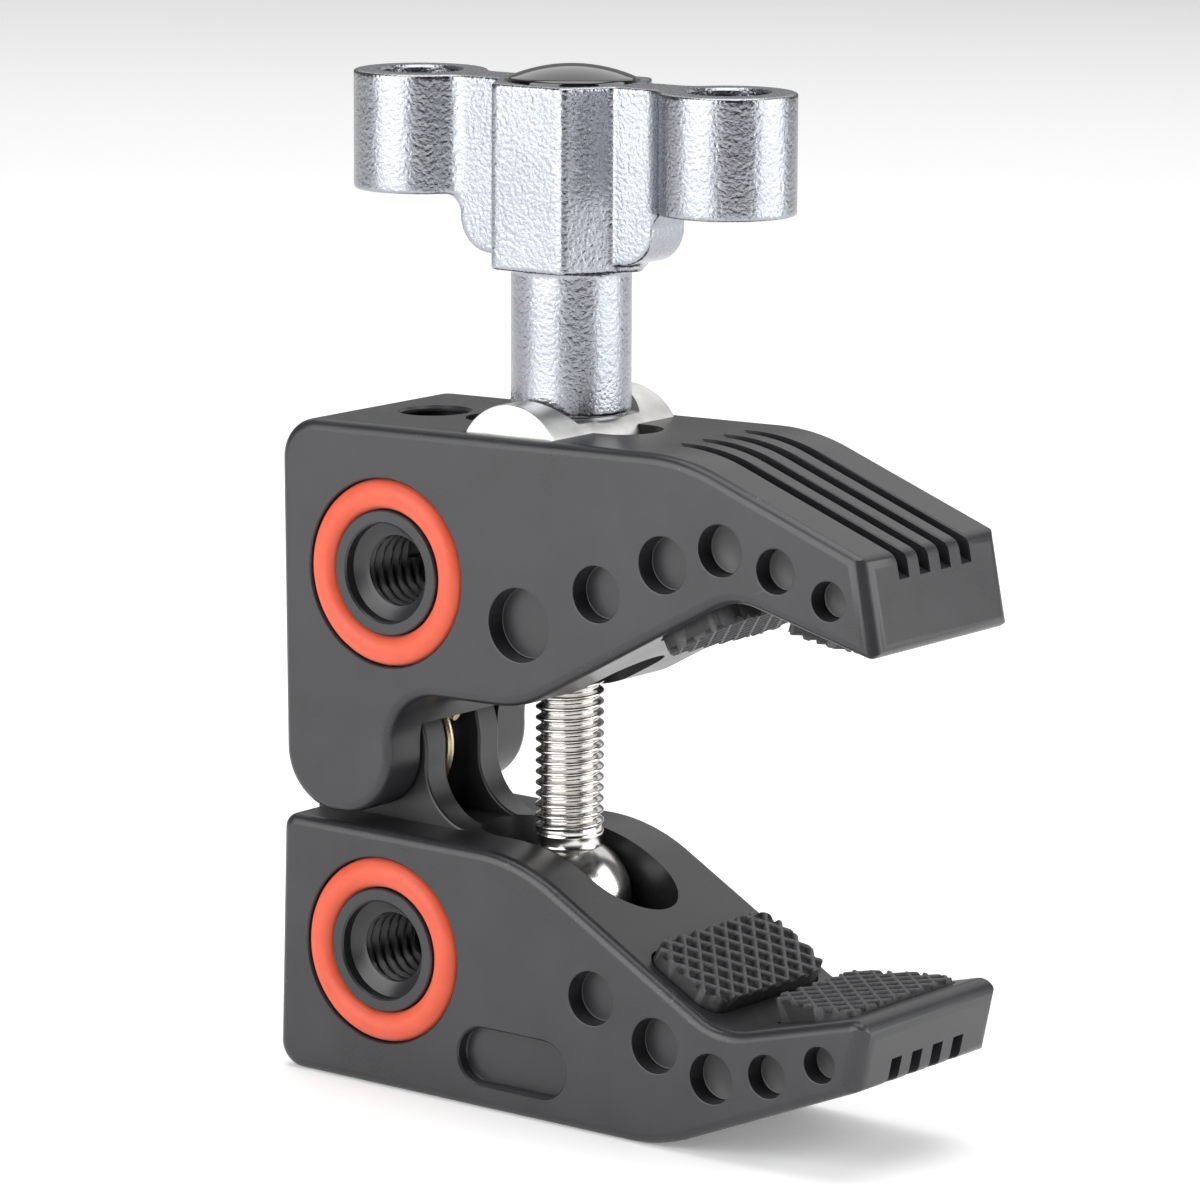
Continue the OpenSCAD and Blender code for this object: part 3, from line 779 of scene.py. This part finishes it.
def make_rod():
    """Threaded rod with a plain neck and a ball end with two flats. z runs from the ball's middle."""
    bm = bmesh.new()
    start, per_pitch, steps, depth, crest_at = BALL_R + 0.35, 12, 64, 0.6468, 0.86
    rows = math.ceil((ROD_LEN - start) / ROD_PITCH * per_pitch)
    rings = []
    for i in range(rows + 1):
        h = start + (ROD_LEN - start) * i / rows
        fade = min(1, (h - start) / ROD_PITCH)
        tip = max(0, (h - (ROD_LEN - 0.9)) / 0.9)
        ring = []
        for k in range(steps):
            x = abs(((h / ROD_PITCH - k / steps) % 1.0) - 0.5) * 2
            root = 0.5 + 0.5 * math.cos(math.pi * min(1, x / crest_at))
            r = min(ROD_R - depth * root ** 0.72 * fade, ROD_R - tip)
            a = 2 * math.pi * k / steps
            ring.append((r * math.cos(a), r * math.sin(a), h))
        rings.append(ring)
    loft(bm, rings)
    neck = 3.62
    ball_turn = math.asin((neck + 0.25) / BALL_R)
    arc = [(BALL_R * math.sin(t), BALL_R * math.cos(t))
           for t in (ball_turn + (math.pi - ball_turn) * k / 40 for k in range(40))]
    profile = [(0, start + 1), (neck, start + 1), (neck + 0.18, start + 0.35), (neck, start - 0.25),
               (neck, arc[0][1] + 0.35), (neck + 0.1, arc[0][1] + 0.1)] + arc + [(0, -BALL_R)]
    lathe(bm, profile, 64)
    rod = Matrix.Translation((0, 0, -(barrel_at - ball_centre()).length / SCALE))
    obj = new_object("rod_with_thread", bm, rod)
    bm = bmesh.new()
    for side in (-1, 1):
        y0, y1 = sorted((side * BALL_FLATS / 2, side * (BALL_R + 2)))
        prism(bm, [(-9, -9), (9, -9), (9, BALL_R - 0.8), (-9, BALL_R - 0.8)], y0, y1)
    boolean(obj, new_object("tool", bm, rod))
    obj.data.transform(BARREL)
    smooth(obj, 50)
    return finish_piece(obj, "rod", "thread", MATERIALS["thread"], "swing_rod")


def ball_centre():
    low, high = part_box("rod_pin")
    return (low + high) / 2


def make_barrel():
    """Cross bar with broken ends, a spot face under the knob and a hole for the rod."""
    bm = bmesh.new()
    h, r = BARREL_LEN / 2, BARREL_R
    rim, bulge = 0.36, 0.1
    lathe(bm, [(0, -h), (r - rim, -h), (r - bulge, bulge - h), (r, rim - h), (r, h - rim),
               (r - bulge, h - bulge), (r - rim, h), (0, h)], 96, ACROSS)
    obj = new_object("cross_barrel", bm, BARREL)
    cut(obj, BARREL, lambda bm: lathe(bm, [(0, SPOT_H), (SPOT_R - 0.15, SPOT_H), (SPOT_R, SPOT_H + 0.15),
                                           (SPOT_R, 12), (0, 12)], 96),
        lambda bm: lathe(bm, [(0, -12), (ROD_R + 0.1, -12), (ROD_R + 0.1, 12), (0, 12)], 64))
    smooth(obj, 30)
    return finish_piece(obj, "barrel", "stainless", MATERIALS["stainless"], "barrel")


def make_thrust_washer():
    bm = bmesh.new()
    inner, outer, z0, z1, rim = ROD_R + 0.3, 6.2, SPOT_H, KNOB_BASE, 0.1
    tube_lathe(bm, [(inner, z0), (outer - rim, z0), (outer, z0 + rim), (outer, z1 - rim), (outer - rim, z1),
                    (inner, z1)], 72)
    obj = new_object("bearing_washer", bm, BARREL)
    smooth(obj)
    return finish_piece(obj, "barrel", "steel", MATERIALS["steel"], "thrust_washer")


def make_spring():
    """Torsion spring: close coils round the hinge beside the near lug, between two short legs."""
    bm = bmesh.new()
    pitch, sides, per_turn = 1.22, 14, 72
    first, last = math.radians(60), math.radians(690)
    turns = (last - first) / (2 * math.pi)
    start_y = WIRE_R + 0.1 - LUG_IN
    path = []
    for k in range(int(turns * per_turn) + 1):
        a = first + (last - first) * k / int(turns * per_turn)
        y = start_y + pitch * (a - first) / (2 * math.pi)
        path.append(Vector((COIL_R * math.cos(a), y, -COIL_R * math.sin(a))))
    for end, beside, spot in ((path[0], path[1], 0), (path[-1], path[-2], len(path) + 1)):
        out = Vector((end.x, 0, end.z)).normalized()
        path.insert(spot, end + out * 0.7 + (end - beside) * 1.5)
    rings = []
    for i, point in enumerate(path):
        ahead = path[min(i + 1, len(path) - 1)] - path[max(i - 1, 0)]
        side = ahead.cross(Vector((0, 1, 0))).normalized()
        other = ahead.cross(side).normalized()
        rings.append([point + WIRE_R * (side * math.cos(t) + other * math.sin(t))
                      for t in (2 * math.pi * n / sides for n in range(sides))])
    loft(bm, rings)
    obj = new_object("torsion_spring", bm, LUG)
    smooth(obj, 60)
    obj.data.materials.append(MATERIALS["spring"])
    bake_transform(obj)
    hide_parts("hinge_spring")
    return obj


def make_pin(name, node, body, matrix, y0, y1):
    bm = bmesh.new()
    rim = 0.35
    lathe(bm, [(0, y0), (PIN_R - rim, y0), (PIN_R, y0 + rim), (PIN_R, y1 - rim), (PIN_R - rim, y1),
               (0, y1)], 48, ALONG_Y)
    obj = new_object(name, bm, matrix)
    smooth(obj)
    return finish_piece(obj, body, "steel", MATERIALS["steel"], node)


# ---------------------------------------------------------------- rings and pads


def make_ring(name, node, body, jaw, at, side):
    """Rubber ring seated in its groove, squeezed a little flat where it touches the floor."""
    section = (RING_OUT - RING_IN) / 2 - 0.06
    middle = (RING_OUT + RING_IN) / 2
    bm = bmesh.new()
    flat, lift = 0.05 - section, RING_PROUD - section
    turns = [2 * math.pi * k / 28 for k in range(28)]
    profile = [(middle + section * math.cos(t), max(section * math.sin(t), flat) + lift) for t in turns]
    tube_lathe(bm, profile, 128, facing(*at, side))
    obj = new_object(name, bm, jaw)
    smooth(obj, 60)
    return finish_piece(obj, body, "ring", MATERIALS["ring"], node)


KNURL_TURN = math.radians(46.5)
KNURL_PITCHES = (1.82, 2.1)
KNURL_DEPTH = 0.6
RIDGE_HALF, RIDGE_FOOT = 0.2, 0.42


def knurl(x, y):
    """0 in the bottom of a knurl pit and 1 on a ridge."""
    height = 0.0
    for turn, pitch in zip((KNURL_TURN, -KNURL_TURN), KNURL_PITCHES):
        across = (x * math.sin(turn) + y * math.cos(turn)) / pitch
        off = abs(across - round(across)) * pitch
        height = max(height, min(1, (RIDGE_FOOT - off) / (RIDGE_FOOT - RIDGE_HALF)))
    return height


def make_pad(name, node, body, matrix, outline, size, top):
    """Pad with crossed ridges. top gives the height of the gripping face at x."""
    (x0, x1), half_y = size, max(y for _, y in outline) + 0.2
    step = 0.13
    nx, ny = math.ceil((x1 - x0) / step), math.ceil(2 * half_y / step)
    bm = bmesh.new()
    grid, floor = [], []
    for i in range(nx + 1):
        x = x0 + (x1 - x0) * i / nx
        row = [(x, 2 * half_y * j / ny - half_y) for j in range(ny + 1)]
        grid.append([bm.verts.new((px, py, top(px) - KNURL_DEPTH * (1 - knurl(px, py)))) for px, py in row])
        floor.append([bm.verts.new((px, py, 0.02 - PAD_IN)) for px, py in (row[0], row[-1])])
    for i in range(nx):
        for j in range(ny):
            bm.faces.new((grid[i][j], grid[i + 1][j], grid[i + 1][j + 1], grid[i][j + 1]))
        bm.faces.new((grid[i][0], grid[i + 1][0], floor[i + 1][0], floor[i][0]))
        bm.faces.new((grid[i][ny], grid[i + 1][ny], floor[i + 1][1], floor[i][1]))
        bm.faces.new((floor[i][0], floor[i + 1][0], floor[i + 1][1], floor[i][1]))
    bm.faces.new(grid[0] + [floor[0][1], floor[0][0]])
    bm.faces.new(grid[nx] + [floor[nx][1], floor[nx][0]])
    obj = new_object(name, bm)
    bm = bmesh.new()
    loft(bm, [[(x, y, z) for x, y in outline] for z in (-PAD_IN - 1, 6)])
    boolean(obj, new_object("tool", bm), "INTERSECT")
    # Marks the ridge tops, which the rubber material paints paler: dust plus a painted highlight.
    attribute = obj.data.attributes.new("ridge", "FLOAT", "POINT")
    for i, vertex in enumerate(obj.data.vertices):
        on_top = vertex.co.z > top(vertex.co.x) - KNURL_DEPTH - 0.05
        attribute.data[i].value = max(0, knurl(vertex.co.x, vertex.co.y) * 1.6 - 0.6) if on_top else 0
    obj.data.transform(matrix)
    if matrix.determinant() < 0:
        obj.data.flip_normals()
    smooth(obj, 50)
    return finish_piece(obj, body, "pad", MATERIALS["pad"], node)


def make_pads():
    p = FRONT_PAD
    rear = (pad_outline(), (-PAD_L / 2 - 0.2, PAD_L / 2 + 0.2), lambda x: PAD_OUT)
    front = (front_outline(), (-0.2, p["length"] + 0.2),
             lambda x: p["thick"] + (p["thin"] - p["thick"]) * x / p["length"])
    make_pad("lower_rear_grip", "lower_rear_pad", "lower_jaw", LOWER @ LOW_REAR_SEAT, *rear)
    make_pad("lower_front_grip", "lower_front_pad", "lower_jaw", LOWER @ LOW_FRONT_SEAT, *front)
    make_pad("upper_rear_grip", "upper_rear_pad", "upper_jaw", UPPER @ UP_REAR_SEAT, *rear)
    make_pad("upper_front_grip", "upper_front_pad", "upper_jaw", UPPER @ UP_FRONT_SEAT, *front)


# ---------------------------------------------------------------- knob


def upright(bm, outline, z0, z1):
    """A plan outline raised from z0 to z1."""
    loft(bm, [[(x, y, z) for x, y in outline] for z in (z0, z1)])


def round_bar(bm, x, r, z0, z1):
    lathe(bm, [(0, z0), (r, z0), (r, z1), (0, z1)], 96, Matrix.Translation((x, 0, 0)))


def wing_blend(side):
    """Plan of the arm between hub and wing, swept into the wing's round end by two arcs."""
    sweep, half = 3.0, WEB_T / 2
    reach = math.sqrt((WING_R + sweep) ** 2 - (half + sweep) ** 2)
    centre_x, centre_y = WING_X - reach, half + sweep
    end = math.atan2(-centre_y, WING_X - centre_x)
    arc = [(centre_x + sweep * math.cos(a), centre_y + sweep * math.sin(a))
           for a in (-math.pi / 2 + (end + math.pi / 2) * k / 12 for k in range(13))]
    upper = [(0, half)] + arc + [(WING_X, half)]
    return [(side * x, y) for x, y in upper] + [(side * x, -y) for x, y in reversed(upper)]


def knob_hollows(bm):
    """Cutters for the wings' recesses, the cap's seat and the bore over the rod."""
    for s in (-1, 1):
        r, z, floor = WING_RECESS_R, KNOB_TOP, KNOB_TOP - WING_RECESS
        lathe(bm, [(0, z + 2), (r + 0.25, z + 2), (r + 0.25, z - 0.02), (r, z - 0.3), (r, floor),
                   (0, floor)], 72, Matrix.Translation((s * WING_X, 0, 0)))
    r, floor = CAP_R + 0.05, KNOB_TOP - CAP_SEAT
    lathe(bm, [(0, KNOB_TOP + 2), (r + 0.25, KNOB_TOP + 2), (r + 0.25, KNOB_TOP - 0.05), (r, KNOB_TOP - 0.3),
               (r, floor), (0, floor)], 96)
    r, bottom, top = ROD_R + 0.5, KNOB_BASE - 1, KNOB_BASE + 30
    lathe(bm, [(0, bottom), (r, bottom), (r, top), (0, top)], 64)


def under_wing(base):
    """Hollow fillet between the web's end and the wing's underside at height base."""
    sweep = 2.2
    arc = [(WEB_X + sweep - sweep * math.cos(a), base - sweep + sweep * math.sin(a))
           for a in (math.pi / 2 * k / 10 for k in range(11))]
    return [(WEB_X - 1, base + 1)] + arc + [(WEB_X + sweep, base + 1)]


def make_knob():
    """Cast knob: overlapping bodies melted into one skin, so that every edge comes out rounded."""
    bm = bmesh.new()
    hub_base = KNOB_TOP - HUB_H
    side = HUB_AF / math.sqrt(3)
    sixths = [math.radians(a) for a in range(0, 360, 60)]
    hexagon = [(side * math.cos(a), side * math.sin(a), HUB_EDGE) for a in sixths]
    upright(bm, rounded(hexagon), hub_base, KNOB_TOP)
    round_bar(bm, 0, STEM_R, KNOB_BASE, hub_base + 1)
    web_base = hub_base + WEB_BOTTOM
    web = [(-WEB_X, web_base, 4), (WEB_X, web_base, 4), (WEB_X, KNOB_TOP - 1, 0.2),
           (-WEB_X, KNOB_TOP - 1, 0.2)]
    prism(bm, rounded(web), -WEB_T / 2, WEB_T / 2)
    wing_base = KNOB_TOP - WING_H
    for s in (-1, 1):
        round_bar(bm, s * WING_X, WING_R, wing_base, KNOB_TOP)
        upright(bm, wing_blend(s), wing_base, KNOB_TOP)
        prism(bm, [(s * x, z) for x, z in under_wing(wing_base)], -WEB_T / 2, WEB_T / 2)
    obj = new_object("cast_knob", bm)
    remesh = obj.modifiers.new("melt", "REMESH")
    remesh.mode = "VOXEL"
    remesh.voxel_size = 0.22
    soften = obj.modifiers.new("soften", "SMOOTH")
    soften.factor = 0.5
    soften.iterations = 6
    bake(obj)
    bm = bmesh.new()
    knob_hollows(bm)
    boolean(obj, new_object("tool", bm))
    obj.data.transform(BARREL)
    smooth(obj, 40)
    return finish_piece(obj, "knob", "knob", MATERIALS["knob"], "knob")


def make_cap():
    bm = bmesh.new()
    rise, rim = CAP_H - 0.3, 0.25
    dome_r = (CAP_R ** 2 + rise ** 2) / (2 * rise)
    spread = math.asin((CAP_R - rim) / dome_r)
    turns = [spread * k / 16 for k in range(17)]
    dome = [(dome_r * math.sin(t), CAP_H - dome_r + dome_r * math.cos(t)) for t in turns]
    profile = dome + [(CAP_R, 0.15), (CAP_R, -CAP_SEAT), (0, -CAP_SEAT)]
    lathe(bm, [(r, h + KNOB_TOP) for r, h in profile], 96)
    obj = new_object("domed_cap", bm, BARREL)
    smooth(obj, 50)
    return finish_piece(obj, "knob", "cap", MATERIALS["cap"], "knob_cap")


# ---------------------------------------------------------------- stage, lights and camera

VIEW_AZIMUTH = math.radians(36.06)
VIEW_ELEVATION = math.radians(11.05)
VIEW_ROLL = math.radians(1.45)
VIEW_DISTANCE = 0.7273
VIEW_AIM = Vector((-0.00557, 0, 0.05746))
LENS = 193.9
LIGHT_AIM = Vector((0, 0, 0.06))
WORLD_DIM, WORLD_BRIGHT = 0.06, 4.4


def look_back(azimuth, elevation):
    return Vector((math.sin(azimuth) * math.cos(elevation), -math.cos(azimuth) * math.cos(elevation),
                   math.sin(elevation)))


def make_camera():
    data = bpy.data.cameras.new("camera")
    data.lens = LENS
    data.sensor_width = 36
    data.clip_start, data.clip_end = 0.01, 50
    camera = bpy.data.objects.new("camera", data)
    bpy.context.scene.collection.objects.link(camera)
    back = look_back(VIEW_AZIMUTH, VIEW_ELEVATION)
    turn = (-back).to_track_quat("-Z", "Y").to_matrix().to_4x4() @ Matrix.Rotation(VIEW_ROLL, 4, "Z")
    camera.matrix_world = Matrix.Translation(VIEW_AIM + back * VIEW_DISTANCE) @ turn
    bpy.context.scene.camera = camera


def make_floor():
    bm = bmesh.new()
    bmesh.ops.create_grid(bm, x_segments=1, y_segments=1, size=6)
    floor = new_object("floor", bm)
    s = Shader("pale_floor", Metallic=0.0)
    s.set("Base Color", s.ramp(s.noise(400, 2), [(0.3, (0.90, 0.90, 0.90)), (0.7, (0.93, 0.93, 0.93))]))
    s.bsdf.inputs["Roughness"].default_value = 0.9
    s.bsdf.inputs["Specular IOR Level"].default_value = 0.1
    s.bsdf.inputs["Emission Color"].default_value = (1.0, 1.0, 1.0, 1)
    s.bsdf.inputs["Emission Strength"].default_value = 0.18
    floor.data.materials.append(s.material)


def softbox(name, azimuth, elevation, distance, width, height, power):
    """Area light on a ring round the clamp. Azimuth is counted as for the camera."""
    data = bpy.data.lights.new(name, "AREA")
    data.shape = "RECTANGLE"
    data.size, data.size_y = width, height
    data.energy = power
    light = bpy.data.objects.new(name, data)
    bpy.context.scene.collection.objects.link(light)
    back = look_back(math.radians(azimuth), math.radians(elevation))
    light.matrix_world = (Matrix.Translation(LIGHT_AIM + back * distance)
                          @ (-back).to_track_quat("-Z", "Y").to_matrix().to_4x4())


def make_lights():
    world = bpy.data.worlds.new("studio")
    world.use_nodes = True
    background = world.node_tree.nodes["Background"]
    nodes, links = world.node_tree.nodes, world.node_tree.links
    behind = nodes.new("ShaderNodeVectorMath")
    behind.operation = "DOT_PRODUCT"
    behind.inputs[1].default_value = -look_back(VIEW_AZIMUTH, math.radians(-12))
    links.new(nodes.new("ShaderNodeTexCoord").outputs["Generated"], behind.inputs[0])
    spread = nodes.new("ShaderNodeMapRange")
    spread.interpolation_type = "SMOOTHSTEP"
    set_range(spread, 0.1, 0.9, WORLD_DIM, WORLD_BRIGHT)
    links.new(behind.outputs["Value"], spread.inputs["Value"])
    links.new(spread.outputs["Result"], background.inputs["Strength"])
    bpy.context.scene.world = world
    softbox("left_box", -16, 18, 0.9, 0.95, 0.9, 10.5)
    softbox("right_box", 113, 16, 0.9, 0.95, 0.9, 9)
    softbox("top_box", 216, 86, 1.3, 1.3, 1.3, 16)
    softbox("back_box", 206, 36, 1.5, 1.8, 0.9, 4)
    bpy.context.scene.view_settings.view_transform = "Standard"
    bpy.context.scene.view_settings.look = "None"


# ---------------------------------------------------------------- build

make_camera()
make_floor()
make_lights()

make_lower_jaw()
make_upper_jaw()
make_jaw_threads()
make_rod()
make_barrel()
make_thrust_washer()
make_spring()
make_pin("hinge_axle", "hinge_pin", "upper_jaw", UPPER, -11.2, HALF_W - 0.4)
make_ring("lower_near_ring", "lower_ring_near", "lower_jaw", LOWER, LOW_BORE, -1)
make_ring("lower_far_ring", "lower_ring_far", "lower_jaw", LOWER, LOW_BORE, 1)
make_ring("upper_near_ring", "upper_ring_near", "upper_jaw", UPPER, UP_BORE, -1)
make_ring("upper_far_ring", "upper_ring_far", "upper_jaw", UPPER, UP_BORE, 1)
make_pads()
make_knob()
make_cap()

for node, name in (("hinge_sleeve", "steel"), ("rod_pin", "steel"), ("knob_nut", "steel"),
                   ("hinge_washer_near", "washer"), ("hinge_washer_far", "washer")):
    inner = frame["nodes"][node]
    inner.data.materials.clear()
    inner.data.materials.append(MATERIALS[name])
